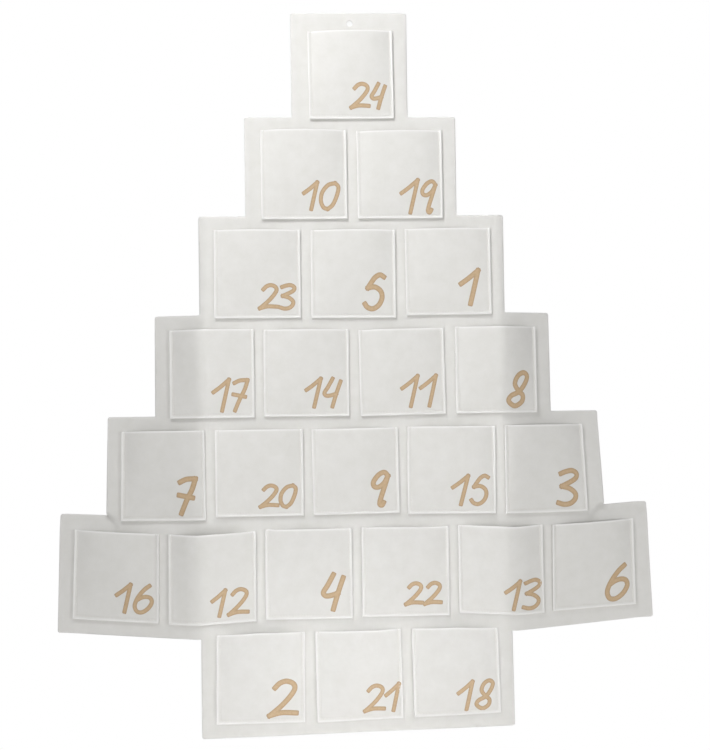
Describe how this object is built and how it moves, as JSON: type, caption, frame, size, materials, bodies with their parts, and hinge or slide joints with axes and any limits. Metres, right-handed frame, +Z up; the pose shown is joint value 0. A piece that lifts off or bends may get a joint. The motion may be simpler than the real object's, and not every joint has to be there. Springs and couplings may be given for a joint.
{
  "type": "felt advent calendar",
  "caption": "Wall-hung tree of white felt with stepped tiers of sewn, open-topped pockets, a punched hanging hole and two side wings that fold back along creases.",
  "frame": {"origin": "on the axis of the hanging hole, at the back face of the centre panel", "axes": "+Z up the wall, front of the calendar towards -Y, back face towards +Y, +X to the viewer's right"},
  "size_m": [0.6164, 0.0372, 0.7455],
  "materials": {
    "backing_felt": "matte",
    "pocket_felt": "matte",
    "sewing_thread": "matte",
    "number_print": "matte"
  },
  "bodies": {
    "centre": {"backing_centre": "backing_felt", "pocket_01": "pocket_felt", "seam_01": "sewing_thread", "pocket_02": "pocket_felt", "seam_02": "sewing_thread", "pocket_04": "pocket_felt", "seam_04": "sewing_thread", "pocket_05": "pocket_felt", "seam_05": "sewing_thread", "pocket_08": "pocket_felt", "seam_08": "sewing_thread", "pocket_09": "pocket_felt", "seam_09": "sewing_thread", "pocket_10": "pocket_felt", "seam_10": "sewing_thread", "pocket_11": "pocket_felt", "seam_11": "sewing_thread", "pocket_12": "pocket_felt", "seam_12": "sewing_thread", "pocket_13": "pocket_felt", "seam_13": "sewing_thread", "pocket_14": "pocket_felt", "seam_14": "sewing_thread", "pocket_15": "pocket_felt", "seam_15": "sewing_thread", "pocket_17": "pocket_felt", "seam_17": "sewing_thread", "pocket_18": "pocket_felt", "seam_18": "sewing_thread", "pocket_19": "pocket_felt", "seam_19": "sewing_thread", "pocket_20": "pocket_felt", "seam_20": "sewing_thread", "pocket_21": "pocket_felt", "seam_21": "sewing_thread", "pocket_22": "pocket_felt", "seam_22": "sewing_thread", "pocket_23": "pocket_felt", "seam_23": "sewing_thread", "pocket_24": "pocket_felt", "seam_24": "sewing_thread"},
    "left_wing": {"backing_left_wing": "backing_felt", "pocket_16": "pocket_felt", "seam_16": "sewing_thread", "pocket_07": "pocket_felt", "seam_07": "sewing_thread"},
    "right_wing": {"backing_right_wing": "backing_felt", "pocket_06": "pocket_felt", "seam_06": "sewing_thread", "pocket_03": "pocket_felt", "seam_03": "sewing_thread"}
  },
  "joints": [
    {"name": "left_wing_fold", "type": "hinge", "parent": "centre", "child": "left_wing", "pos_m": [-0.16015, 0.00015, -0.46975], "axis": [0, 0, 1], "range_deg": [-160, 10], "deforming": ["pocket_17", "seam_17", "pocket_07", "seam_07", "pocket_12", "seam_12"]},
    {"name": "right_wing_fold", "type": "hinge", "parent": "centre", "child": "right_wing", "pos_m": [0.16015, 0.00015, -0.46975], "axis": [0, 0, -1], "range_deg": [-160, 10], "deforming": ["pocket_08", "seam_08", "pocket_03", "seam_03", "pocket_13", "seam_13"]}
  ]
}
